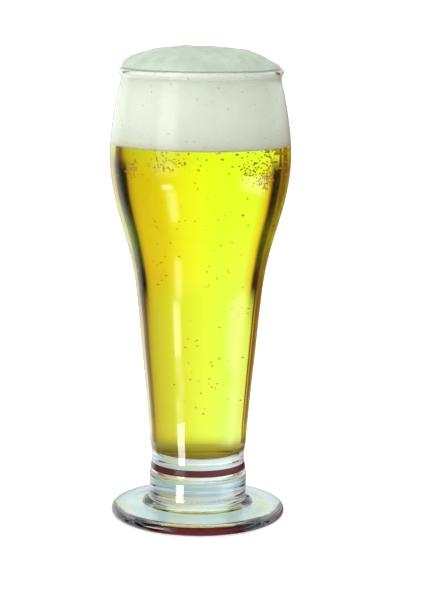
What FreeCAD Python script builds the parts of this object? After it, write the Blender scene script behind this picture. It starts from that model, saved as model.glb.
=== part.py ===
import FreeCAD, Part
import math
import os

import Sketcher

# A tall footed beer glass, pressed and blown in one piece, filled with pale
# beer under a head of foam that domes over the rim. Lengths are millimetres.
# The glass stands on z = 0 with its axis on +Z through the origin.

SIZES = {
    # Foot: a flat disc with a rounded edge that stands on a ring.
    "foot_radius": 39.3,
    "foot_lower_round": 2.4,
    "foot_edge_land": 0.2,
    "foot_upper_round": 2.8,
    "foot_slope_rise": 1.0,
    "foot_ring_width": 4.0,
    "recess_depth": 2.4,
    # Stem: a short solid column between the foot and a shallow groove.
    "stem_radius": 22.0,
    "stem_root_round": 4.2,
    "stem_length": 9.4,
    "groove_width": 0.9,
    "groove_depth": 1.4,
    # Heel bead: a low rounded band round the bowl's foot, above the groove.
    "heel_bead_radius": 21.7,
    "heel_bead_rise": 3.7,
    # Bowl: the control points that pull its outline, from the bead up. Each
    # step is the rise from the point below.
    "heel_radius": 21.1,
    "shank_radius": 22.2,
    "shank_step": 20.4,
    "taper_radius": 26.1,
    "taper_step": 35.0,
    "flare_radius": 28.7,
    "flare_step": 35.0,
    "swell_radius": 36.7,
    "swell_step": 23.0,
    "bulge_radius": 42.0,
    "bulge_step": 25.0,
    "shoulder_radius": 38.6,
    "shoulder_step": 21.0,
    "neck_radius": 35.5,
    "neck_step": 14.5,
    # Lip: a bead that turns out a little above the neck.
    "lip_radius": 36.5,
    "lip_bead_radius": 1.4,
    "lip_flare_rise": 3.1,
    # Inside: a wall that thins from the heel to the neck, and a thick floor.
    "wall_at_heel": 3.8,
    "wall_at_neck": 2.1,
    "floor_thickness": 7.4,
    "floor_flat_radius": 14.5,
    "floor_corner_rise": 1.5,
    # Contents: foam from the beer up to the rim, and a dome of it above.
    "foam_depth": 33.7,
    "dome_rise": 9.6,
}

# Share of a rounded corner's height and width where its handles stand, which
# makes it a little leaner than a quarter of an ellipse.
HANDLE_SHARE = 0.5

# The share of the lip's flare where its curve starts to turn out.
FLARE_TURN = 0.45

SPLINE_DEGREE = 3

doc = FreeCAD.newDocument("pilsner_glass")
sheet = doc.addObject("Spreadsheet::Sheet", "dims")
for row, (alias, number) in enumerate(SIZES.items(), start=1):
    sheet.set(f"A{row}", alias)
    sheet.set(f"B{row}", str(number))
    sheet.setAlias(f"B{row}", alias)
doc.recompute()


class Length:
    """A length that knows its value and the formula that takes it from the sheet."""

    def __init__(self, value, formula):
        self.value = value
        self.formula = formula

    def __add__(self, other):
        return Length(self.value + other.value, f"({self.formula} + {other.formula})")

    def __sub__(self, other):
        return Length(self.value - other.value, f"({self.formula} - {other.formula})")

    def __mul__(self, share):
        return Length(self.value * share, f"({self.formula} * {share})")


def size(alias):
    """The length that one cell of the sheet holds."""
    return Length(SIZES[alias], f"dims.{alias}")


ZERO = Length(0.0, "0")


class Section:
    """A closed half section in a sketch, drawn as a chain of points (radius, height)."""

    # A sketch counts its axes down from -1, and a curve's own points up from 1.
    V_AXIS, H_AXIS = range(-2, 0)
    START, END, CENTRE = range(1, 4)

    def __init__(self, body, name, first):
        self.sketch = body.newObject("Sketcher::SketchObject", name)
        plane = [item for item in body.Origin.OriginFeatures if item.Role == "XZ_Plane"][0]
        self.sketch.AttachmentSupport = [(plane, "")]
        self.sketch.MapMode = "FlatFace"
        self.first = first
        self.last = first
        self.joint = None
        self.opening = None

    @staticmethod
    def vector(point):
        radius, height = point
        return FreeCAD.Vector(radius.value, height.value, 0)

    def bind(self, geometry, corner, point):
        """Hold one point of a line or curve at its radius and height."""
        radius, height = point
        if radius is ZERO:
            self.sketch.addConstraint(
                Sketcher.Constraint("PointOnObject", geometry, corner, self.V_AXIS))
        else:
            self.hold("DistanceX", geometry, corner, radius)
        if height is ZERO:
            self.sketch.addConstraint(
                Sketcher.Constraint("PointOnObject", geometry, corner, self.H_AXIS))
        else:
            self.hold("DistanceY", geometry, corner, height)

    def hold(self, kind, geometry, corner, length):
        """Dimension a point from the sketch's origin and tie it to the sheet."""
        index = self.sketch.addConstraint(Sketcher.Constraint(
            kind, self.H_AXIS, self.START, geometry, corner, length.value))
        self.sketch.setExpression(f"Constraints[{index}]", length.formula)

    def chain(self, geometry, start, end, point):
        """Join a new piece to the one before it and hold its far end."""
        if self.joint is None:
            self.bind(geometry, start, self.first)
            self.opening = (geometry, start)
        else:
            self.sketch.addConstraint(
                Sketcher.Constraint("Coincident", *self.joint, geometry, start))
        if point is None:
            self.sketch.addConstraint(
                Sketcher.Constraint("Coincident", geometry, end, *self.opening))
        else:
            self.bind(geometry, end, point)
        self.joint = (geometry, end)
        self.last = point

    def line_to(self, point):
        line = Part.LineSegment(self.vector(self.last), self.vector(point))
        self.chain(self.sketch.addGeometry(line, False), self.START, self.END, point)

    def close(self):
        """Run the last line back to the first point."""
        line = Part.LineSegment(self.vector(self.last), self.vector(self.first))
        self.chain(self.sketch.addGeometry(line, False), self.START, self.END, None)

    def arc_to(self, point, level_end):
        """Draw an arc that runs level at one end, START or END."""
        start = self.vector(self.last)
        end = self.vector(point)
        level, other = (start, end) if level_end == self.START else (end, start)
        rise = other.y - level.y
        span = other.x - level.x
        lift = (span ** 2 + rise ** 2) / (2 * rise)
        centre = FreeCAD.Vector(level.x, level.y + lift, 0)
        turn = (start - centre).cross(end - centre).z
        circle = Part.Circle(centre, FreeCAD.Vector(0, 0, 1), abs(lift))
        angles = [math.atan2(end_point.y - centre.y, end_point.x - centre.x)
                  for end_point in (start, end)]
        if turn < 0:
            angles.reverse()
        geometry = self.sketch.addGeometry(Part.ArcOfCircle(circle, *angles), False)
        corners = (self.START, self.END) if turn > 0 else (self.END, self.START)
        self.chain(geometry, *corners, point)
        level_corner = corners[0] if level_end == self.START else corners[1]
        self.sketch.addConstraint(Sketcher.Constraint(
            "Vertical", geometry, level_corner, geometry, self.CENTRE))

    def curve_to(self, *poles):
        """Draw a smooth curve pulled by its poles, the last of them its far end."""
        points = (self.last,) + poles
        spans = len(points) - SPLINE_DEGREE
        ends = SPLINE_DEGREE + 1
        curve = Part.BSplineCurve()
        curve.buildFromPolesMultsKnots(
            [self.vector(point) for point in points],
            [ends] + [1] * (spans - 1) + [ends],
            list(range(spans + 1)), False, SPLINE_DEGREE)
        geometry = self.sketch.addGeometry(curve, False)
        self.sketch.exposeInternalGeometry(geometry)
        self.chain(geometry, self.START, self.END, poles[-1])
        # The pole circles follow the curve, and the first one is at its start.
        for circle, point in enumerate(poles[:-1], start=geometry + 2):
            self.bind(circle, self.CENTRE, point)


def turned(body, kind, name, section):
    """Turn a section once round the glass's axis, as a solid or as a cut."""
    feature = body.newObject(f"PartDesign::{kind}", name)
    feature.Profile = section.sketch
    feature.ReferenceAxis = (section.sketch, ["V_Axis"])
    feature.Angle = 360
    section.sketch.Visibility = False
    doc.recompute()
    return feature


def new_body(label):
    body = doc.addObject("PartDesign::Body", label)
    body.Label = label
    body.Placement = FreeCAD.Placement()
    return body


# Heights, each the sum of the sizes below it.
FOOT_TOP = size("foot_lower_round") + size("foot_edge_land") + size("foot_upper_round")
STEM_FOOT = FOOT_TOP + size("foot_slope_rise") + size("stem_root_round")
STEM_TOP = STEM_FOOT + size("stem_length")
HEEL = STEM_TOP + size("groove_width")

# The bowl's control points above its heel bead, as (radius, height).
BOWL = [(size("heel_radius"), HEEL + size("heel_bead_rise"))]
for station in ("shank", "taper", "flare", "swell", "bulge", "shoulder", "neck"):
    BOWL.append((size(f"{station}_radius"), BOWL[-1][1] + size(f"{station}_step")))
NECK = BOWL[-1][1]
LIP_WIDEST = NECK + size("lip_flare_rise")
RIM = LIP_WIDEST + size("lip_bead_radius")
CREST_RADIUS = size("lip_radius") - size("lip_bead_radius")
FLOOR = HEEL + size("floor_thickness")
BEER_LEVEL = RIM - size("foam_depth")


def inner_radius(index):
    """The radius inside the wall at one of the bowl's control points."""
    thinning = index / (len(BOWL) - 1)
    wall = size("wall_at_heel") * (1 - thinning) + size("wall_at_neck") * thinning
    return BOWL[index][0] - wall


def lip_curve(radius, lip_radius):
    """The poles that take a wall from the neck out to the widest part of the bead."""
    turn = NECK + size("lip_flare_rise") * FLARE_TURN
    return [(radius, turn), (lip_radius, turn), (lip_radius, LIP_WIDEST)]


def hollow_wall():
    """The inside of the bowl from the middle of the floor up to the neck."""
    poles = [(ZERO, FLOOR), (size("floor_flat_radius"), FLOOR),
             (inner_radius(0), FLOOR + size("floor_corner_rise"))]
    for index in range(1, len(BOWL)):
        poles.append((inner_radius(index), BOWL[index][1]))
    return poles


def glass():
    """The glass itself, foot, stem and bowl, as one turned solid."""
    body = new_body("glass")
    lower = size("foot_lower_round")
    upper = size("foot_upper_round")
    edge = size("foot_radius")
    ring = edge - lower
    recess = ring - size("foot_ring_width")
    stem = size("stem_radius")
    slope_top = FOOT_TOP + size("foot_slope_rise")
    groove = stem - size("groove_depth")
    bead_inside = CREST_RADIUS - size("lip_bead_radius")

    section = Section(body, "glass_section", (ZERO, size("recess_depth")))
    section.arc_to((recess, ZERO), Section.START)
    section.line_to((ring, ZERO))
    section.arc_to((edge, lower), Section.START)
    section.line_to((edge, lower + size("foot_edge_land")))
    section.arc_to((edge - upper, FOOT_TOP), Section.END)
    section.line_to((stem + size("stem_root_round"), slope_top))
    section.curve_to((stem + size("stem_root_round") * HANDLE_SHARE, slope_top),
                     (stem, slope_top + size("stem_root_round") * HANDLE_SHARE),
                     (stem, STEM_FOOT))
    section.line_to((stem, STEM_TOP))
    section.curve_to((groove, STEM_TOP), (groove, HEEL), (size("heel_radius"), HEEL))
    section.curve_to((size("heel_bead_radius"), HEEL),
                     (size("heel_bead_radius"), HEEL + size("heel_bead_rise") * HANDLE_SHARE),
                     BOWL[0])
    section.curve_to(*BOWL[1:])
    section.curve_to(*lip_curve(size("neck_radius"), size("lip_radius")))
    section.arc_to((CREST_RADIUS, RIM), Section.END)
    section.arc_to((bead_inside, LIP_WIDEST), Section.START)
    inside = hollow_wall()
    flare = lip_curve(inside[-1][0], bead_inside)
    section.curve_to(*reversed(flare[:-1]), inside[-1])
    section.curve_to(*reversed(inside[:-1]))
    section.close()
    turned(body, "Revolution", "pressed_glass", section)
    return body


def hollow_section(body):
    """The space inside the glass, up to the crest of the rim."""
    inside = hollow_wall()
    bead_inside = CREST_RADIUS - size("lip_bead_radius")
    section = Section(body, f"{body.Label}_hollow", inside[0])
    section.curve_to(*inside[1:])
    section.curve_to(*lip_curve(inside[-1][0], bead_inside))
    section.arc_to((CREST_RADIUS, RIM), Section.END)
    section.line_to((ZERO, RIM))
    section.close()
    return section


def cut_between(body, name, low, high):
    """Take away all that lies between two heights."""
    beyond = max((radius for radius, height in BOWL), key=lambda length: length.value)
    section = Section(body, f"{name}_section", (ZERO, low))
    section.line_to((beyond, low))
    section.line_to((beyond, high))
    section.line_to((ZERO, high))
    section.close()
    turned(body, "Groove", name, section)


def beer():
    """The beer, which fills the bowl from its floor up to the foam."""
    body = new_body("beer")
    turned(body, "Revolution", "beer_fill", hollow_section(body))
    cut_between(body, "foam_space", BEER_LEVEL, RIM)
    return body


def foam_head():
    """The foam, from the beer up to the rim, with a dome that stands above it."""
    body = new_body("foam_head")
    turned(body, "Revolution", "foam_fill", hollow_section(body))
    cut_between(body, "beer_space", ZERO, BEER_LEVEL)
    dome_top = RIM + size("dome_rise")
    section = Section(body, "dome_section", (CREST_RADIUS, RIM))
    section.curve_to((CREST_RADIUS, RIM + size("dome_rise") * HANDLE_SHARE),
                     (CREST_RADIUS * HANDLE_SHARE, dome_top),
                     (ZERO, dome_top))
    section.line_to((ZERO, RIM))
    section.close()
    turned(body, "Revolution", "foam_dome", section)
    return body


def check(body):
    """Stop if a piece has failed to build."""
    shape = body.Shape
    if shape.isNull() or not shape.isValid() or len(shape.Solids) != 1:
        raise RuntimeError(f"{body.Label} is not one valid solid")


bodies = [glass(), beer(), foam_head()]
doc.recompute()
for item in doc.Objects:
    if "Invalid" in item.State or "Error" in item.State:
        raise RuntimeError(f"{item.Label} failed: {item.State}")

os.makedirs("parts", exist_ok=True)
for body in bodies:
    check(body)
    body.Shape.exportStep(os.path.join("parts", f"{body.Label}.step"))
    print(body.Label, f"{body.Shape.Volume / 1000:.1f} ml", body.Shape.BoundBox)
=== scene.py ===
"""A footed pilsner glass of pale beer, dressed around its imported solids."""

import math
import random

import bmesh
import bpy
from bpy.props import FloatProperty, FloatVectorProperty, IntProperty, PointerProperty
from mathutils import Matrix, Vector, geometry, noise


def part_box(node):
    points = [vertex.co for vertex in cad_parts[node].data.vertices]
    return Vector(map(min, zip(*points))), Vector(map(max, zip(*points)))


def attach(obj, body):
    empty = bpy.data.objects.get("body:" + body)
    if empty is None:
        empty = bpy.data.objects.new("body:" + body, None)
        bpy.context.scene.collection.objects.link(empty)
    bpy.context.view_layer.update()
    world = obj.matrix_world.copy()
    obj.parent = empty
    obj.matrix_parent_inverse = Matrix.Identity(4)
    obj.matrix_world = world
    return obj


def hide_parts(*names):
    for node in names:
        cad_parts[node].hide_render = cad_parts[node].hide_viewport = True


bl_info = {
    "name": "Pilsner glass",
    "version": (1, 0, 0),
    "blender": (4, 5, 0),
    "location": "View3D > Sidebar > Pilsner",
    "description": "Dresses a footed beer glass, its beer and its foam around their solids",
    "category": "Object",
}

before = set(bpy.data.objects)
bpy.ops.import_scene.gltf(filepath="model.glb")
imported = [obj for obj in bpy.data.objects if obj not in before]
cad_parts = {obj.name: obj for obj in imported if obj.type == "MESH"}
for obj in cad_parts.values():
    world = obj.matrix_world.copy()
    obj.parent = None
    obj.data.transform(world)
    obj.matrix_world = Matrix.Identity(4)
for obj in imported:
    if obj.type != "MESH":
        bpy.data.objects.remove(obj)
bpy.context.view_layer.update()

MM = 0.001
TURN = math.tau

# Points this near to each other are one.
TOUCH = 0.001 * MM

# A bend in an outline past this stays a sharp corner.
SHARP_CORNER = math.radians(24)


# Plain helpers for shapes

def merged_copy(node):
    """A bmesh copy of a CAD node with its loose triangles joined."""
    bm = bmesh.new()
    bm.from_mesh(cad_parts[node].data)
    bmesh.ops.remove_doubles(bm, verts=bm.verts, dist=TOUCH)
    return bm


def half_section(node):
    """The points (radius, 0, height) round a turned node's half section, in order."""
    bm = merged_copy(node)
    everything = bm.verts[:] + bm.edges[:] + bm.faces[:]
    bmesh.ops.bisect_plane(
        bm, geom=everything, dist=TOUCH, plane_co=(0, 0, 0), plane_no=(0, 1, 0),
        clear_inner=True, clear_outer=True)
    other_half = [vert for vert in bm.verts if vert.co.x < -TOUCH]
    bmesh.ops.delete(bm, geom=other_half, context="VERTS")
    ends = [vert for vert in bm.verts if len(vert.link_edges) == 1]
    vert = min(ends, key=lambda end: end.co.z)
    chain = [vert]
    seen = {vert}
    while True:
        steps = [edge.other_vert(vert) for edge in vert.link_edges]
        steps = [step for step in steps if step not in seen]
        if not steps:
            break
        vert = steps[0]
        seen.add(vert)
        chain.append(vert)
    points = [Vector((vert.co.x, 0, vert.co.z)) for vert in chain]
    bm.free()
    return points


def smoothed(points, step):
    """The same outline with more points, on a curve through the ones given."""
    runs = [b - a for a, b in zip(points, points[1:])]
    arriving = []
    leaving = []
    for index in range(len(points)):
        run_in = runs[max(index - 1, 0)]
        run_out = runs[min(index, len(runs) - 1)]
        before = run_in.normalized()
        after = run_out.normalized()
        if after.angle(before) <= SHARP_CORNER:
            before = after = (before * run_out.length + after * run_in.length).normalized()
        arriving.append(before)
        leaving.append(after)
    fine = [points[0]]
    for index, run in enumerate(runs):
        pull = run.length / 3
        count = max(1, round(run.length / step))
        curve = geometry.interpolate_bezier(
            points[index], points[index] + leaving[index] * pull,
            points[index + 1] - arriving[index + 1] * pull, points[index + 1], count + 1)
        fine.extend(Vector((max(point.x, 0), 0, max(point.z, 0))) for point in curve[1:])
    return fine


def spun(points, segments):
    """A bmesh turned once round the Z axis from an outline."""
    bm = bmesh.new()
    verts = [bm.verts.new(point) for point in points]
    edges = [bm.edges.new(pair) for pair in zip(verts, verts[1:])]
    bmesh.ops.spin(
        bm, geom=verts + edges, cent=(0, 0, 0), axis=(0, 0, 1), angle=TURN,
        steps=segments, use_merge=True, use_duplicate=False)
    bmesh.ops.remove_doubles(bm, verts=bm.verts, dist=2 * TOUCH)
    bmesh.ops.recalc_face_normals(bm, faces=bm.faces)
    return bm


def placed(bm, name, materials):
    """A mesh object in the scene, at the origin, with its finishes."""
    mesh = bpy.data.meshes.new(name)
    bm.to_mesh(mesh)
    bm.free()
    for material in materials:
        mesh.materials.append(material)
    thing = bpy.data.objects.new(name, mesh)
    bpy.context.scene.collection.objects.link(thing)
    return thing


def piece_from(bm, name, materials, slot_name, *nodes):
    """A smooth piece of the object, with its body and the nodes it stands for."""
    piece = placed(bm, name, materials)
    piece.data.shade_smooth()
    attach(piece, "root")
    if nodes:
        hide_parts(*nodes)
    return piece


# Plain helpers for finishes

def linear(text):
    """An sRGB hex colour as linear red, green, blue and alpha."""
    channels = [int(text[index:index + 2], 16) / 255 for index in (0, 2, 4)]
    return [value / 12.92 if value <= 0.04045 else ((value + 0.055) / 1.055) ** 2.4
            for value in channels] + [1.0]


def add(tree, kind, inputs=None, **settings):
    """Add one node, with its settings, its values and its links."""
    node = tree.nodes.new(kind)
    for name, value in settings.items():
        setattr(node, name, value)
    for socket, value in (inputs or {}).items():
        if isinstance(value, bpy.types.NodeSocket):
            tree.links.new(value, node.inputs[socket])
        else:
            node.inputs[socket].default_value = value
    return node


def new_material(name):
    """An empty material, and its node tree."""
    material = bpy.data.materials.new(name)
    material.use_nodes = True
    material.node_tree.nodes.clear()
    return material, material.node_tree


# The glass

GLASS_INDEX = 1.52
BEER_INDEX = 1.34

CLEAR_TINT = "FCFEFD"
THICK_TINT = "DCEAEC"
# Painted reflections: the lip's dark grey top, the foot's blue-grey lower edge with dark red at
# its front, and the heel's dark red ring.
LIP_PAINTED_REFLECTION = "7C8684"
FOOT_EDGE_PAINTED_REFLECTION = "B8BCCC"
FOOT_EDGE_FRONT_PAINTED_REFLECTION = "300306"
HEEL_PAINTED_REFLECTION = "3F0709"
# Painted shade: the cavity's floor, darker towards the bottom of the beer.
CAVITY_FLOOR_PAINTED_SHADE = "A0742C"
PRESSED_ROUGHNESS = 0.10

# The wall's slow waves.
WAVE_WIDTH = 22 * MM
WAVE_DEPTH = 0.20 * MM

# How far to each side the painted reflection at the foot edge's front reaches, and where it is
# gone. The other one starts outside the glass, so that a band has its full colour all over.
FOOT_EDGE_FADE = (20 * MM, 30 * MM)
NO_FADE = (1.0, 2.0)

# A normal higher than the first of these is a floor's, and one lower than the second an
# underside's.
FACES_UP = 0.8
FACES_DOWN = -0.5

# The cavity's floor counts from this far under its lowest point.
FLOOR_MARGIN = 0.5 * MM


def soda_lime_glass(name, index=GLASS_INDEX, tint=CLEAR_TINT, band=None, axis="Z",
                    fade=NO_FADE, one_sided=1.0, roughness=0.0):
    """Soda-lime glass, fire-polished or pressed: clear, bright and very faintly cool.

    Its slow waves bend the edges of the highlights. The lip's and the foot edge's tints are
    painted reflections. A band is a deep colour that fades out along an axis: painted reflection
    on the heel and the foot's edge, painted shade on the cavity's floor. With one_sided at 1 it
    shows only where the view goes into the glass through it, and with 0 also where the view
    comes out.
    """
    material, tree = new_material(name)
    position = add(tree, "ShaderNodeTexCoord").outputs["Object"]
    waves = add(tree, "ShaderNodeTexNoise", {
        "Vector": position, "Scale": 1 / WAVE_WIDTH, "Detail": 1.0, "Roughness": 0.4})
    bump = add(tree, "ShaderNodeBump", {
        "Height": waves.outputs["Fac"], "Strength": 1.0, "Distance": WAVE_DEPTH})
    colour = linear(tint)
    if band:
        inside = add(tree, "ShaderNodeMath", {
            0: add(tree, "ShaderNodeNewGeometry").outputs["Backfacing"], 1: one_sided},
            operation="MULTIPLY").outputs[0]
        place = add(tree, "ShaderNodeSeparateXYZ", {"Vector": position}).outputs[axis]
        place = add(tree, "ShaderNodeMath", {0: place}, operation="ABSOLUTE").outputs[0]
        faded = add(tree, "ShaderNodeMapRange", {
            "Value": place, "From Min": fade[0], "From Max": fade[1]},
            interpolation_type="SMOOTHSTEP").outputs["Result"]
        clear = add(tree, "ShaderNodeMath", {0: inside, 1: faded}, operation="MAXIMUM")
        colour = add(tree, "ShaderNodeMix", {
            "Factor": clear.outputs[0], "A": linear(band), "B": linear(tint)},
            data_type="RGBA").outputs["Result"]
    shader = add(tree, "ShaderNodeBsdfPrincipled", {
        "Base Color": colour, "Roughness": roughness, "IOR": index,
        "Transmission Weight": 1.0, "Normal": bump.outputs["Normal"]})
    add(tree, "ShaderNodeOutputMaterial", {"Surface": shader.outputs["BSDF"]})
    return material


class GlassSettings(bpy.types.PropertyGroup):
    segments: IntProperty(
        name="Segments", description="Steps round the glass", default=160, min=24)
    outline_step: FloatProperty(
        name="Outline step", description="Longest step along the glass's outline",
        default=1.6 * MM, unit="LENGTH", subtype="DISTANCE")
    stem_top: FloatProperty(
        name="Stem top", description="Height where the thick stem and foot end",
        default=20.4 * MM, unit="LENGTH", subtype="DISTANCE")
    # The heel's band is a painted reflection: a dark red ring.
    heel_reflection_low: FloatProperty(
        name="Band low", description="Height where the heel's deep-coloured band starts",
        default=22.2 * MM, unit="LENGTH", subtype="DISTANCE")
    heel_reflection_top: FloatProperty(
        name="Band top", description="Height where the heel's deep-coloured band ends",
        default=25.2 * MM, unit="LENGTH", subtype="DISTANCE")
    # The foot's lower edge is a painted reflection: dark red at its front, blue-grey at its
    # sides.
    foot_edge: FloatProperty(
        name="Foot edge", description="Height of the foot's deep-coloured lower edge",
        default=4.2 * MM, unit="LENGTH", subtype="DISTANCE")
    foot_edge_radius: FloatProperty(
        name="Foot edge radius", description="Where the foot's lower edge starts",
        default=36.8 * MM, unit="LENGTH", subtype="DISTANCE")
    # The lip's darker top is a painted reflection.
    lip_edge: FloatProperty(
        name="Lip edge", description="Depth of the lip's darker upper edge",
        default=0.5 * MM, unit="LENGTH", subtype="DISTANCE")
    # The cavity floor's deep colour is painted shade.
    floor_rise: FloatProperty(
        name="Floor rise", description="How high the deep colour of the cavity's floor climbs",
        default=9.0 * MM, unit="LENGTH", subtype="DISTANCE")


def glass_finish(face, settings, cavity_floor, beer_level, rim):
    """Which finish one face of the glass has, by its place and the way it faces."""
    centre = face.calc_center_median()
    reach = Vector((centre.x, centre.y, 0))
    faces_in = face.normal.dot(reach) < 0 or face.normal.z > FACES_UP
    # The cavity's floor gets painted shade; the foot's edge, the heel's band and the lip get
    # painted reflections.
    if faces_in and cavity_floor - FLOOR_MARGIN < centre.z < beer_level:
        return "floor" if centre.z < cavity_floor + settings.floor_rise else "wetted"
    if centre.z < settings.foot_edge and reach.length > settings.foot_edge_radius:
        return "foot_edge"
    if centre.z < settings.stem_top:
        return "thick" if face.normal.z > FACES_DOWN else "pressed"
    if settings.heel_reflection_low < centre.z < settings.heel_reflection_top:
        return "heel"
    return "lip" if centre.z > rim - settings.lip_edge else "clear"


class PILSNER_OT_glass(bpy.types.Operator):
    """Turn the glass from its half section, with its wetted wall as a finish of its own"""
    bl_idname = "pilsner.glass"
    bl_label = "Glass"

    def execute(self, context):
        settings = context.scene.pilsner_glass
        bm = spun(smoothed(half_section("glass"), settings.outline_step), settings.segments)
        cavity_floor, beer_level = (corner.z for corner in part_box("beer"))
        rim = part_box("glass")[1].z
        for height in (settings.foot_edge, settings.heel_reflection_low, settings.heel_reflection_top, beer_level,
                       rim - settings.lip_edge):
            bmesh.ops.bisect_plane(
                bm, geom=bm.verts[:] + bm.edges[:] + bm.faces[:], dist=TOUCH,
                plane_co=(0, 0, height), plane_no=(0, 0, 1))
        # Where beer wets the glass, light bends only by the difference of the two.
        wet_index = GLASS_INDEX / BEER_INDEX
        floor_fade = (cavity_floor + FLOOR_MARGIN, cavity_floor + settings.floor_rise)
        # The heel, the foot's edge and the lip carry painted reflections, and the cavity's floor
        # painted shade.
        looks = {
            "clear": {},
            "wetted": {"index": wet_index},
            "thick": {"tint": THICK_TINT},
            "heel": {"band": HEEL_PAINTED_REFLECTION},
            "foot_edge": {
                "tint": FOOT_EDGE_PAINTED_REFLECTION, "band": FOOT_EDGE_FRONT_PAINTED_REFLECTION, "axis": "X",
                "fade": FOOT_EDGE_FADE},
            "floor": {
                "index": wet_index, "band": CAVITY_FLOOR_PAINTED_SHADE, "fade": floor_fade, "one_sided": 0.0},
            "pressed": {"tint": THICK_TINT, "roughness": PRESSED_ROUGHNESS},
            "lip": {"tint": LIP_PAINTED_REFLECTION},
        }
        order = list(looks)
        for face in bm.faces:
            finish = glass_finish(face, settings, cavity_floor, beer_level, rim)
            face.material_index = order.index(finish)
        piece_from(
            bm, "clear_glass",
            [soda_lime_glass(name + "_soda_lime_glass", **look) for name, look in looks.items()],
            "clear_glass", "glass")
        return {"FINISHED"}


# The beer and its bubbles

BUBBLE_TINT = "E0A450"


def pale_lager(colour, density):
    """Filtered pale lager: a clear liquid that takes out the blue, so it looks golden.

    It is deeper in colour where it is thicker.
    """
    material, tree = new_material("pale_lager")
    shader = add(tree, "ShaderNodeBsdfPrincipled", {
        "Base Color": (1, 1, 1, 1), "Roughness": 0.0, "IOR": 1.0,
        "Transmission Weight": 1.0, "Specular IOR Level": 0.0})
    volume = add(tree, "ShaderNodeVolumeAbsorption", {
        "Color": tuple(colour) + (1.0,), "Density": density})
    add(tree, "ShaderNodeOutputMaterial", {
        "Surface": shader.outputs["BSDF"], "Volume": volume.outputs["Volume"]})
    return material


def bubble_gas():
    """Gas in beer: each bubble shows as a small tan speck with a soft gleam."""
    material, tree = new_material("gas_bubble_in_lager")
    shader = add(tree, "ShaderNodeBsdfPrincipled", {
        "Base Color": linear(BUBBLE_TINT), "Roughness": 0.15, "IOR": BEER_INDEX,
        "Transmission Weight": 0.2})
    add(tree, "ShaderNodeOutputMaterial", {"Surface": shader.outputs["BSDF"]})
    return material


class BeerSettings(bpy.types.PropertyGroup):
    segments: IntProperty(
        name="Segments", description="Steps round the beer", default=96, min=24)
    outline_step: FloatProperty(
        name="Outline step", description="Longest step along the beer's outline",
        default=3 * MM, unit="LENGTH", subtype="DISTANCE")
    colour: FloatVectorProperty(
        name="Colour", description="What the beer lets through",
        default=linear("FCFF3C")[:3], size=3, subtype="COLOR", min=0, max=1)
    density: FloatProperty(
        name="Density", description="How strongly the beer takes light out, per metre",
        default=62.0, min=0)
    wall_gap: FloatProperty(
        name="Wall gap", description="Sliver between the beer and the wetted wall",
        default=0.03 * MM, unit="LENGTH", subtype="DISTANCE")


class PILSNER_OT_beer(bpy.types.Operator):
    """Turn the beer from its half section, a sliver clear of the wetted wall"""
    bl_idname = "pilsner.beer"
    bl_label = "Beer"

    def execute(self, context):
        settings = context.scene.pilsner_beer
        outline = half_section("beer")
        outline.append(Vector((0, 0, outline[-1].z)))
        bm = spun(smoothed(outline, settings.outline_step), settings.segments)
        bm.normal_update()
        for vert in bm.verts:
            vert.co -= vert.normal * settings.wall_gap
        piece_from(bm, "pale_beer", [pale_lager(settings.colour, settings.density)],
                   "pale_beer", "beer")
        return {"FINISHED"}


class BubbleSettings(bpy.types.PropertyGroup):
    free_count: IntProperty(
        name="Rising bubbles", description="Bubbles spread through the beer",
        default=130, min=0)
    cluster_count: IntProperty(
        name="Clinging bubbles", description="Bubbles in one cluster on the wall",
        default=80, min=0)
    diameter: FloatProperty(
        name="Diameter", description="Usual width of one bubble",
        default=0.66 * MM, unit="LENGTH", subtype="DISTANCE")
    floor_gap: FloatProperty(
        name="Floor gap", description="How far the rising bubbles stay off the floor",
        default=6 * MM, unit="LENGTH", subtype="DISTANCE")
    foam_gap: FloatProperty(
        name="Foam gap", description="How far the rising bubbles stay under the foam",
        default=2 * MM, unit="LENGTH", subtype="DISTANCE")
    wall_gap: FloatProperty(
        name="Wall gap", description="How far the rising bubbles stay off the wall",
        default=1.5 * MM, unit="LENGTH", subtype="DISTANCE")
    cling_gap: FloatProperty(
        name="Cling gap", description="Sliver between a clinging bubble and the wall",
        default=0.1 * MM, unit="LENGTH", subtype="DISTANCE")


# The smallest and largest bubbles, as shares of the usual one. With a crowding under 1,
# more of the rising ones are near the foam.
RISING_SIZES = (0.6, 1.15)
CLINGING_SIZES = (0.4, 1.3)
CROWDING = 0.75

# Clusters that cling to the wall under the foam: the angle from the front to the
# right, in degrees, the depth under the foam, and the spread round and down.
CLUSTERS = (
    (50, 4 * MM, 6, 3 * MM),
    (34, 8 * MM, 5, 1.8 * MM),
    (44, 12 * MM, 4, 2 * MM),
    (51, 12 * MM, 3, 3 * MM),
    (-50, 8 * MM, 3.5, 2 * MM),
    (-21, 4.5 * MM, 8, 2.5 * MM),
    (150, 7 * MM, 14, 3 * MM),
    (-120, 9 * MM, 10, 4 * MM),
)


def wall_radius(outline, height):
    """The beer's radius at one height of its outline."""
    for low, high in zip(outline, outline[1:]):
        if low.z <= height <= high.z and high.z > low.z:
            share = (height - low.z) / (high.z - low.z)
            return low.x + (high.x - low.x) * share
    return outline[0].x


def round_axis(radius, angle, height):
    """A place given by its distance from the axis, its direction and its height."""
    return Vector((radius * math.cos(angle), radius * math.sin(angle), height))


def bubbles_at(places):
    """A bmesh of round bubbles, each of a few dozen faces, at (centre, radius)."""
    ball = bmesh.new()
    bmesh.ops.create_uvsphere(ball, u_segments=8, v_segments=6, radius=1)
    mesh = bpy.data.meshes.new("bubble")
    bm = bmesh.new()
    for centre, radius in places:
        copy = ball.copy()
        copy.transform(Matrix.LocRotScale(centre, None, (radius, radius, radius)))
        copy.to_mesh(mesh)
        bm.from_mesh(mesh)
        copy.free()
    ball.free()
    bpy.data.meshes.remove(mesh)
    return bm


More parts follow.
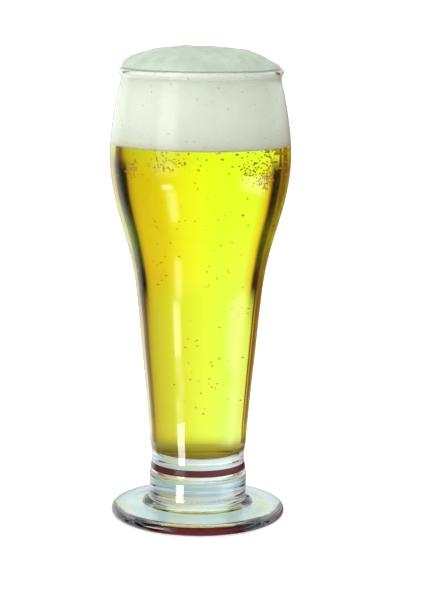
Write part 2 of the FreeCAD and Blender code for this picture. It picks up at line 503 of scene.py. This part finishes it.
class PILSNER_OT_bubbles(bpy.types.Operator):
    """Scatter gas bubbles through the beer and in clusters on the wall under the foam"""
    bl_idname = "pilsner.bubbles"
    bl_label = "Bubbles"

    def execute(self, context):
        settings = context.scene.pilsner_bubbles
        dice = random.Random(11)
        outline = half_section("beer")
        low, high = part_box("beer")
        lowest = low.z + settings.floor_gap
        highest = high.z - settings.foam_gap
        places = []
        for _ in range(settings.free_count):
            height = lowest + (highest - lowest) * dice.random() ** CROWDING
            reach = wall_radius(outline, height) - settings.wall_gap
            radius = reach * math.sqrt(dice.random())
            centre = round_axis(radius, dice.uniform(0, TURN), height)
            places.append((centre, settings.diameter / 2 * dice.uniform(*RISING_SIZES)))
        for turn, depth, spread, fall in CLUSTERS:
            for _ in range(settings.cluster_count):
                size = settings.diameter / 2 * dice.uniform(*CLINGING_SIZES)
                angle = math.radians(turn + dice.gauss(0, spread) - 90)
                height = high.z - max(size * 1.5, depth + dice.gauss(0, fall))
                radius = wall_radius(outline, height) - size - settings.cling_gap
                places.append((round_axis(radius, angle, height), size))
        piece_from(bubbles_at(places), "gas_bubbles", [bubble_gas()], "pale_beer")
        return {"FINISHED"}


# The foam

# Each pair goes from the foam's duller clouds to its paler ones.
WALL_SHADES = ("EAEFE1", "F6F8F1")
# The dome's pair is darker and greener than the wall's: painted shade for the lesser light on
# the foam's top.
DOME_PAINTED_SHADES = ("B0C2AC", "E4F0E2")
COARSE_SHADE = "C8BE94"
WET_SHADE = "E0D6C0"

# The widths of the foam's patterns. Its real cells are about 0.2 mm wide, and are drawn
# coarser, so that they show.
CELL_WIDTH = 0.9 * MM
COARSE_WIDTH = 3.6 * MM
ROUGH_WIDTH = 5 * MM
CLOUD_WIDTH = 9 * MM
CELL_DEPTH = 0.25 * MM

# How far above the beer the foam is wet, and the stretch by the rim over which it goes into the
# dome's painted shade.
WET_DEPTH = 4 * MM
DOME_SHADE_BLEND = 1 * MM


def beer_foam(beer_level, rim):
    """Beer foam: packed fine bubbles, matte and soft, with a few coarse ones showing.

    It is whiter and smoother behind the glass, and tan and wet just above the beer. On the dome
    it is greener, cloudy and darker: painted shade for the lesser light on its top.
    """
    material, tree = new_material("fine_beer_foam")
    position = add(tree, "ShaderNodeTexCoord").outputs["Object"]
    cells = add(tree, "ShaderNodeTexVoronoi", {
        "Vector": position, "Scale": 1 / CELL_WIDTH}, feature="F1")
    coarse = add(tree, "ShaderNodeTexVoronoi", {
        "Vector": position, "Scale": 1 / COARSE_WIDTH}, feature="F1")
    coarse_spot = add(tree, "ShaderNodeMapRange", {
        "Value": coarse.outputs["Distance"], "From Min": 0.06, "From Max": 0.17,
        "To Min": 0.6, "To Max": 0.0}, interpolation_type="SMOOTHSTEP")
    clouds = add(tree, "ShaderNodeTexNoise", {
        "Vector": position, "Scale": 1 / CLOUD_WIDTH, "Detail": 4.0, "Roughness": 0.6})
    # The dome's colours are the wall's in painted shade.
    wall, dome = (add(tree, "ShaderNodeMix", {
        "Factor": clouds.outputs["Fac"], "A": linear(dull), "B": linear(pale)},
        data_type="RGBA").outputs["Result"]
        for dull, pale in (WALL_SHADES, DOME_PAINTED_SHADES))
    height = add(tree, "ShaderNodeSeparateXYZ", {"Vector": position}).outputs["Z"]
    above = add(tree, "ShaderNodeMapRange", {
        "Value": height, "From Min": rim - DOME_SHADE_BLEND, "From Max": rim + DOME_SHADE_BLEND})
    # From the rim up the foam takes the dome's painted shade.
    base = add(tree, "ShaderNodeMix", {
        "Factor": above.outputs["Result"], "A": wall, "B": dome}, data_type="RGBA")
    spotted = add(tree, "ShaderNodeMix", {
        "Factor": coarse_spot.outputs["Result"], "A": base.outputs["Result"],
        "B": linear(COARSE_SHADE)}, data_type="RGBA")
    wet = add(tree, "ShaderNodeMapRange", {
        "Value": height, "From Min": beer_level, "From Max": beer_level + WET_DEPTH,
        "To Min": 0.5, "To Max": 0.0}, interpolation_type="SMOOTHSTEP")
    tinged = add(tree, "ShaderNodeMix", {
        "Factor": wet.outputs["Result"], "A": spotted.outputs["Result"],
        "B": linear(WET_SHADE)}, data_type="RGBA")
    lumps = add(tree, "ShaderNodeTexNoise", {
        "Vector": position, "Scale": 1 / ROUGH_WIDTH, "Detail": 4.0, "Roughness": 0.6})
    rough = add(tree, "ShaderNodeMath", {
        0: lumps.outputs["Fac"], 1: 4.0, 2: cells.outputs["Distance"]},
        operation="MULTIPLY_ADD")
    bump = add(tree, "ShaderNodeBump", {
        "Height": rough.outputs[0], "Strength": 0.6, "Distance": CELL_DEPTH})
    shader = add(tree, "ShaderNodeBsdfPrincipled", {
        "Base Color": tinged.outputs["Result"], "Roughness": 0.85, "IOR": 1.33,
        "Specular IOR Level": 0.3, "Normal": bump.outputs["Normal"]})
    add(tree, "ShaderNodeOutputMaterial", {"Surface": shader.outputs["BSDF"]})
    return material


class FoamSettings(bpy.types.PropertyGroup):
    segments: IntProperty(
        name="Segments", description="Steps round the foam", default=160, min=24)
    outline_step: FloatProperty(
        name="Outline step", description="Longest step along the foam's outline",
        default=1.2 * MM, unit="LENGTH", subtype="DISTANCE")
    lump_depth: FloatProperty(
        name="Lump depth", description="How far the dome's hollows go in",
        default=1.5 * MM, unit="LENGTH", subtype="DISTANCE")
    lean: FloatProperty(
        name="Lean", description="How far the dome's crest leans to the left",
        default=0.4 * MM, unit="LENGTH", subtype="DISTANCE")
    grip: FloatProperty(
        name="Grip", description="How far the foam's side sinks into the wall's film",
        default=0.08 * MM, unit="LENGTH", subtype="DISTANCE")
    lip_depth: FloatProperty(
        name="Lip depth", description="How far under the rim the foam starts to cling",
        default=1.6 * MM, unit="LENGTH", subtype="DISTANCE")
    lip_gap: FloatProperty(
        name="Lip gap", description="Sliver between the foam and the dry lip",
        default=0.25 * MM, unit="LENGTH", subtype="DISTANCE")


# The dome's lumps, as the width of each kind and how much it counts.
LUMPS = ((14 * MM, 1.0), (6 * MM, 0.45), (2.5 * MM, 0.18))

# The lean is full at this distance from the axis.
LEAN_REACH = 24 * MM

# The foam's flat underside ends this near to the beer, and its dome this far under the top.
SKIN = 0.01 * MM
HEADROOM = 0.05 * MM


class PILSNER_OT_foam(bpy.types.Operator):
    """Turn the foam from its half section and make its dome uneven"""
    bl_idname = "pilsner.foam"
    bl_label = "Foam"

    def execute(self, context):
        settings = context.scene.pilsner_foam
        outline = half_section("foam_head")
        outline.insert(0, Vector((0, 0, outline[0].z)))
        bm = spun(smoothed(outline, settings.outline_step), settings.segments)
        bm.normal_update()
        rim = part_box("glass")[1].z
        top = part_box("foam_head")[1].z
        beer_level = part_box("beer")[1].z
        for vert in bm.verts:
            if vert.co.z <= rim:
                if vert.co.z > beer_level + SKIN:
                    clings = vert.co.z < rim - settings.lip_depth
                    vert.co += vert.normal * (settings.grip if clings else -settings.lip_gap)
                continue
            # The lumps are full from half the dome's height up.
            share = min((vert.co.z - rim) / (top - rim) * 2, 1)
            lump = sum(noise.noise(vert.co / width) * weight for width, weight in LUMPS)
            vert.co += vert.normal * share * (
                settings.lump_depth * lump - settings.lean * vert.co.x / LEAN_REACH)
            vert.co.z = min(vert.co.z, top - HEADROOM)
        piece_from(bm, "foam_head_lumps", [beer_foam(beer_level, rim)],
                   "beer_foam", "foam_head")
        return {"FINISHED"}


# The studio: floor, light and camera

class StudioSettings(bpy.types.PropertyGroup):
    camera_distance: FloatProperty(
        name="Camera distance", description="From the glass's axis to the lens",
        default=0.8987, unit="LENGTH", subtype="DISTANCE")
    camera_height: FloatProperty(
        name="Camera height", description="Height of the lens above the floor",
        default=0.2556, unit="LENGTH", subtype="DISTANCE")
    camera_tilt: FloatProperty(
        name="Camera tilt", description="How far the lens looks down",
        default=math.radians(9.884), subtype="ANGLE")
    camera_turn: FloatProperty(
        name="Camera turn", description="How far the lens looks to the glass's right",
        default=math.radians(0.463), subtype="ANGLE")
    camera_roll: FloatProperty(
        name="Camera roll", description="How far the camera leans to the left",
        default=math.radians(0.58), subtype="ANGLE")
    focal_length: FloatProperty(
        name="Focal length", description="On a sensor 36 mm on its long side",
        default=121.7, unit="CAMERA")
    floor_size: FloatProperty(
        name="Floor size", description="Width of the floor", default=12.0,
        unit="LENGTH", subtype="DISTANCE")
    card_near: FloatVectorProperty(
        name="Card's near end", description="Middle of the table card's end by the glass",
        default=(-26 * MM, -37 * MM, 0.5 * MM), size=3, unit="LENGTH", subtype="XYZ")
    card_far: FloatVectorProperty(
        name="Card's far end", description="Middle of the table card's other end",
        default=(-82 * MM, -106 * MM, 0.5 * MM), size=3, unit="LENGTH", subtype="XYZ")
    card_near_width: FloatProperty(
        name="Card's near width", description="Width of the table card by the glass",
        default=13 * MM, unit="LENGTH", subtype="DISTANCE")
    card_far_width: FloatProperty(
        name="Card's far width", description="Width of the table card at its other end",
        default=38 * MM, unit="LENGTH", subtype="DISTANCE")
    card_strength: FloatProperty(
        name="Card strength", description="How bright the table card is", default=13.0, min=0)


# What stands round the glass, by the direction in degrees from straight behind it, to
# the right. The walls are bright, and warmer towards the right and at the sides. Dark
# cards before them draw the glass's edges. The table is what lies lower, and the near
# table lies lowest. The mirrored ones are for the mirror images on the glass: low ones
# for its sides, high ones for its foot.
ROUND_ABOUT = {
    "walls": (
        (-180, "F2F4F0"), (-153, "F2F4F0"), (-149, "2A2420"), (-132, "2A2420"),
        (-128, "ECE8E4"), (-90, "DCC0B4"), (-60, "CC9080"), (-51, "7A5230"),
        (-43, "8A5A30"), (-41, "9A6030"), (-39, "1E0C04"), (-32, "1E0C04"),
        (-30.5, "A86414"), (-28.5, "F4CC50"), (-21, "F6FFF0"), (-8, "F1FFF2"), (0, "FCF8D8"),
        (7, "FCE9A8"), (14, "ECC870"), (26, "E4B858"), (30, "CC9850"), (32.5, "180C08"),
        (47, "180C08"), (50, "D8A488"), (62, "DCB0A0"), (128, "ECE8E4"), (132, "2A2420"),
        (149, "2A2420"), (153, "F2F4F0"),
    ),
    "table": (
        (-180, "F0F2EE"), (-60, "E6E4DA"), (-54, "D8C098"), (-49, "8A5428"),
        (-43.5, "94602C"), (-41.8, "E8B860"), (-40.5, "E8B860"), (-39.3, "744012"),
        (-37.7, "744012"), (-36.3, "F8F8D8"), (-26, "F1FFF4"), (-12, "ECFFF0"),
        (-4, "F2FAE4"), (6, "ECE6BC"), (16, "DFD490"), (27, "D0BE78"), (33, "C8AC62"),
        (36, "A8703C"), (38.5, "744420"), (45, "744420"), (48, "E4DCCC"), (62, "EEEEE8"),
    ),
    "near_table": (
        (-180, "D0DCDD"), (-60, "D0DCDD"), (-25, "E0ECEB"), (0, "D2DEDE"), (12, "BED0CB"),
        (35, "B0C0B6"), (60, "CCD8D9"),
    ),
    "low_mirrored": (
        (-180, "1E201E"), (-58, "2C2C28"), (-44, "FFFFFF"), (-18, "FFFFFF"), (-12, "8A8478"),
        (0, "8A8478"), (8, "8A7058"), (24, "6A4A30"), (56, "5A3C28"), (70, "302C28"),
    ),
    "high_mirrored": (
        (-180, "1E201E"), (-66, "2C2C28"), (-50, "E4ECEC"), (60, "E4ECEC"), (80, "A8A49C"),
        (130, "8A8884"),
    ),
}
CEILING = "DCE4E2"

# How these lie over one another: the name of the result, the one below, the one above,
# and the elevations in degrees where the lower one ends and the upper one is full.
LAYERS = (
    ("room", "table", "walls", -6.5, -1.5),
    ("room", "room", "ceiling", 22, 40),
    ("room", "room", "near_table", -11, -15),
    ("mirrored", "low_mirrored", "high_mirrored", -4, 4),
    ("mirrored", "mirrored", "ceiling", 30, 60),
)

# Lights that show in mirror images only. Each has the degrees across between which it
# shows and how soft its sides are, the same for its lower and upper end, and its strength.
# All but the ring overhead and the last, to the right, stand to the left in front.
LIGHTS = (
    (-143, -129, 3.0, -22, -19.5, 1.2, 5.0),
    (-147, -134, 4.0, -36, -23, 1.5, 2.4),
    (-149, -123, 7.0, -1, 24, 5.0, 1.7),
    (-400, 400, 5.0, 55, 85, 5.0, 2.5),
    (-150, -120, 6.0, -14, -4, 3.0, 0.9),
    (86, 124, 9.0, -21, -13, 1.5, 2.2),
)

# The light on the foam and the floor: its level, and its rise towards the left.
PLAIN_LEVEL = 1.05
PLAIN_SLOPE = (-0.42, -0.16, -0.14)
ROOM_STRENGTH = 1.14

FLOOR_COLOUR = "F4F4F4"
FLOOR_LIFT = 0.42


def round_about(tree, azimuth, elevation):
    """The room, and the room as it is in mirror images, by direction."""
    turn = add(tree, "ShaderNodeMapRange", {
        "Value": azimuth, "From Min": -180.0, "From Max": 180.0}).outputs["Result"]
    colours = {"ceiling": linear(CEILING)}
    for name, stops in ROUND_ABOUT.items():
        circle = add(tree, "ShaderNodeValToRGB", {"Fac": turn})
        ramp = circle.color_ramp
        ramp.elements[0].color = linear(stops[0][1])
        for degrees, colour in stops[1:]:
            ramp.elements.new((degrees + 180) / 360).color = linear(colour)
        # It ends as it starts, because it goes once round.
        ramp.elements[len(stops)].color = linear(stops[0][1])
        colours[name] = circle.outputs["Color"]
    for name, below, above, low, high in LAYERS:
        share = add(tree, "ShaderNodeMapRange", {
            "Value": elevation, "From Min": low, "From Max": high},
            interpolation_type="SMOOTHSTEP")
        colours[name] = add(tree, "ShaderNodeMix", {
            "Factor": share.outputs["Result"], "A": colours[below], "B": colours[above]},
            data_type="RGBA").outputs["Result"]
    return colours["room"], colours["mirrored"]


def with_lights(tree, room, azimuth, elevation, seen):
    """The room with the lights added to it for the rays that see them."""
    for left, right, side, low, high, end, strength in LIGHTS:
        glow = add(tree, "ShaderNodeMath", {
            0: seen, 1: strength}, operation="MULTIPLY").outputs[0]
        for value, nothing, full in (
                (azimuth, left - side, left + side), (azimuth, right + side, right - side),
                (elevation, low - end, low + end), (elevation, high + end, high - end)):
            share = add(tree, "ShaderNodeMapRange", {
                "Value": value, "From Min": nothing, "From Max": full},
                interpolation_type="SMOOTHSTEP")
            glow = add(tree, "ShaderNodeMath", {
                0: glow, 1: share.outputs["Result"]}, operation="MULTIPLY").outputs[0]
        room = add(tree, "ShaderNodeMix", {"Factor": 1.0, "A": room, "B": glow},
                   data_type="RGBA", blend_type="ADD").outputs["Result"]
    return room


def studio_world():
    """Soft studio light: plain on the foam, with walls and cards for the glass."""
    world = bpy.data.worlds.new("soft_studio")
    world.use_nodes = True
    tree = world.node_tree
    tree.nodes.clear()
    direction = add(tree, "ShaderNodeVectorMath", {
        0: add(tree, "ShaderNodeTexCoord").outputs["Generated"]},
        operation="NORMALIZE").outputs[0]
    parts = add(tree, "ShaderNodeSeparateXYZ", {"Vector": direction}).outputs
    across = add(tree, "ShaderNodeMath", {
        0: parts["X"], 1: parts["Y"]}, operation="ARCTAN2").outputs[0]
    up = add(tree, "ShaderNodeMath", {0: parts["Z"]}, operation="ARCSINE").outputs[0]
    azimuth, elevation = (
        add(tree, "ShaderNodeMath", {0: angle}, operation="DEGREES").outputs[0]
        for angle in (across, up))
    light_path = add(tree, "ShaderNodeLightPath").outputs

    direct, mirrored = round_about(tree, azimuth, elevation)
    room = add(tree, "ShaderNodeMix", {
        "Factor": light_path["Is Reflection Ray"], "A": direct, "B": mirrored},
        data_type="RGBA").outputs["Result"]
    room = with_lights(tree, room, azimuth, elevation, light_path["Is Reflection Ray"])
    room = add(tree, "ShaderNodeBackground", {
        "Color": room, "Strength": ROOM_STRENGTH}).outputs[0]

    # The foam and the floor get plain light, a little stronger from the left.
    slope = add(tree, "ShaderNodeVectorMath", {
        0: direction, 1: PLAIN_SLOPE}, operation="DOT_PRODUCT").outputs["Value"]
    plain = add(tree, "ShaderNodeMath", {
        0: slope, 1: PLAIN_LEVEL}, operation="ADD").outputs[0]
    plain = add(tree, "ShaderNodeBackground", {"Color": plain, "Strength": 1.0}).outputs[0]
    after_foam = add(tree, "ShaderNodeMath", {
        0: light_path["Diffuse Depth"], 1: 0.5}, operation="GREATER_THAN").outputs[0]
    lit = add(tree, "ShaderNodeMixShader", {0: after_foam, 1: room, 2: plain}).outputs[0]

    white = add(tree, "ShaderNodeBackground", {"Color": (1, 1, 1, 1)}).outputs[0]
    shown = add(tree, "ShaderNodeMixShader", {
        0: light_path["Is Camera Ray"], 1: lit, 2: white}).outputs[0]
    add(tree, "ShaderNodeOutputWorld", {"Surface": shown})
    return world


def studio_floor(size):
    """A pale matte floor that is white where nothing shades it."""
    material, tree = new_material("matte_white_sweep")
    diffuse = add(tree, "ShaderNodeBsdfDiffuse", {"Color": linear(FLOOR_COLOUR)})
    lift = add(tree, "ShaderNodeEmission", {"Color": (1, 1, 1, 1), "Strength": FLOOR_LIFT})
    camera_ray = add(tree, "ShaderNodeLightPath").outputs["Is Camera Ray"]
    both = add(tree, "ShaderNodeAddShader", {0: diffuse.outputs[0], 1: lift.outputs[0]})
    shown = add(tree, "ShaderNodeMixShader", {
        0: camera_ray, 1: diffuse.outputs[0], 2: both.outputs[0]})
    add(tree, "ShaderNodeOutputMaterial", {"Surface": shown.outputs[0]})
    bm = bmesh.new()
    bmesh.ops.create_grid(bm, x_segments=1, y_segments=1, size=size / 2)
    floor = placed(bm, "floor", [material])
    # Through the glass and in mirror images the table is seen in its place.
    floor.visible_glossy = False
    floor.visible_transmission = False


def table_card(settings):
    """A bright card on the table, left in front, that shows in mirror images only."""
    material, tree = new_material("lit_card")
    light = add(tree, "ShaderNodeEmission", {
        "Color": (1, 1, 1, 1), "Strength": settings.card_strength})
    add(tree, "ShaderNodeOutputMaterial", {"Surface": light.outputs[0]})
    near = Vector(settings.card_near)
    far = Vector(settings.card_far)
    across = (far - near).cross(Vector((0, 0, 1))).normalized()
    bm = bmesh.new()
    for end, width in ((near, settings.card_near_width), (far, settings.card_far_width)):
        for side in (-1, 1):
            bmesh.ops.create_vert(bm, co=end + across * width / 2 * side)
    bmesh.ops.contextual_create(bm, geom=bm.verts)
    card = placed(bm, "card", [material])
    for ray in ("camera", "diffuse", "transmission", "volume_scatter", "shadow"):
        setattr(card, "visible_" + ray, False)


class PILSNER_OT_studio(bpy.types.Operator):
    """Set the floor, the soft light and the camera"""
    bl_idname = "pilsner.studio"
    bl_label = "Studio"

    def execute(self, context):
        settings = context.scene.pilsner_studio
        scene = context.scene
        scene.view_settings.view_transform = "Standard"
        scene.world = studio_world()
        # Light crosses the glass, the beer and the bubbles many times.
        scene.cycles.max_bounces = 32
        scene.cycles.transmission_bounces = 32
        scene.cycles.glossy_bounces = 8
        scene.cycles.diffuse_bounces = 8
        # Light reaches the foam through the glass as sharp as it is.
        scene.cycles.blur_glossy = 0.0
        studio_floor(settings.floor_size)
        table_card(settings)
        lens = bpy.data.cameras.new("camera")
        lens.lens = settings.focal_length
        lens.clip_start = 0.01
        camera = bpy.data.objects.new("camera", lens)
        scene.collection.objects.link(camera)
        turn = Matrix.Rotation(-settings.camera_turn, 4, "Z")
        tilt = Matrix.Rotation(math.pi / 2 - settings.camera_tilt, 4, "X")
        roll = Matrix.Rotation(settings.camera_roll, 4, "Z")
        place = Matrix.Translation((0, -settings.camera_distance, settings.camera_height))
        camera.matrix_world = place @ turn @ tilt @ roll
        scene.camera = camera
        return {"FINISHED"}


# The add-on

OPERATORS = (
    PILSNER_OT_glass,
    PILSNER_OT_beer,
    PILSNER_OT_bubbles,
    PILSNER_OT_foam,
    PILSNER_OT_studio,
)


class PILSNER_PT_panel(bpy.types.Panel):
    """The pieces of the glass, one button each"""
    bl_label = "Pilsner glass"
    bl_idname = "PILSNER_PT_panel"
    bl_space_type = "VIEW_3D"
    bl_region_type = "UI"
    bl_category = "Pilsner"

    def draw(self, context):
        for operator in OPERATORS:
            self.layout.operator(operator.bl_idname)


SETTINGS = {
    "pilsner_glass": GlassSettings,
    "pilsner_beer": BeerSettings,
    "pilsner_bubbles": BubbleSettings,
    "pilsner_foam": FoamSettings,
    "pilsner_studio": StudioSettings,
}


def register():
    for name, group in SETTINGS.items():
        bpy.utils.register_class(group)
        setattr(bpy.types.Scene, name, PointerProperty(type=group))
    for operator in OPERATORS:
        bpy.utils.register_class(operator)
    bpy.utils.register_class(PILSNER_PT_panel)


def unregister():
    bpy.utils.unregister_class(PILSNER_PT_panel)
    for operator in reversed(OPERATORS):
        bpy.utils.unregister_class(operator)
    for name, group in SETTINGS.items():
        delattr(bpy.types.Scene, name)
        bpy.utils.unregister_class(group)


def main():
    register()
    bpy.ops.pilsner.glass()
    bpy.ops.pilsner.beer()
    bpy.ops.pilsner.bubbles()
    bpy.ops.pilsner.foam()
    bpy.ops.pilsner.studio()


if __name__ == "__main__":
    main()
